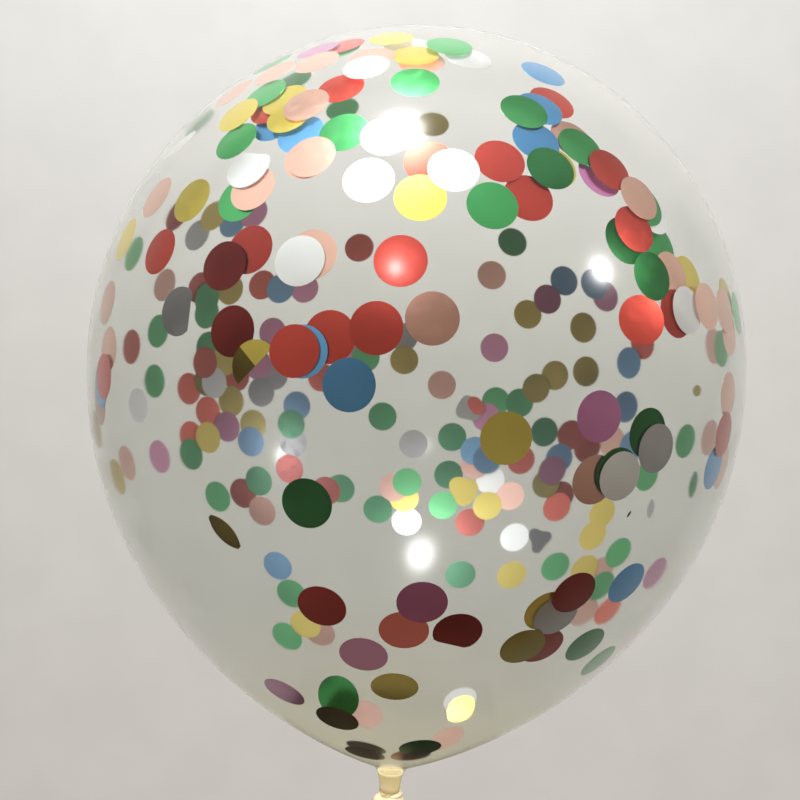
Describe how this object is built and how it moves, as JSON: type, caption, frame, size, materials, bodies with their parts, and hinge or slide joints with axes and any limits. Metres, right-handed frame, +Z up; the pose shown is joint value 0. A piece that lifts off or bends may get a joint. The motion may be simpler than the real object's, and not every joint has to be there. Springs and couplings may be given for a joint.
{
  "type": "clear latex confetti balloon",
  "caption": "Clear round latex balloon, blown up and knotted, filled with loose coloured foil discs that cling to its inner wall, lying on its side.",
  "frame": {"origin": "centre of the shallow flat that the balloon lies on, straight below its widest section, on the floor", "axes": "+Y along the level axis of the balloon towards its crown, so the knot points to -Y; +Z up; +X to the side"},
  "size_m": [0.25, 0.325, 0.2485],
  "materials": {
    "clear_latex": "thin stretched clear natural latex, glossy, faintly milky, ivory where it is thick at the neck, knot and lip",
    "foil_red": "red metallised plastic film, both sides",
    "foil_rose_gold": "rose gold metallised plastic film, both sides",
    "foil_green": "green metallised plastic film, both sides",
    "foil_blue": "blue metallised plastic film, both sides",
    "foil_gold": "gold metallised plastic film, both sides",
    "foil_silver": "silver metallised plastic film, both sides",
    "foil_purple": "purple metallised plastic film, both sides"
  },
  "bodies": {
    "root": {"balloon": "clear_latex"}
  },
  "joints": []
}
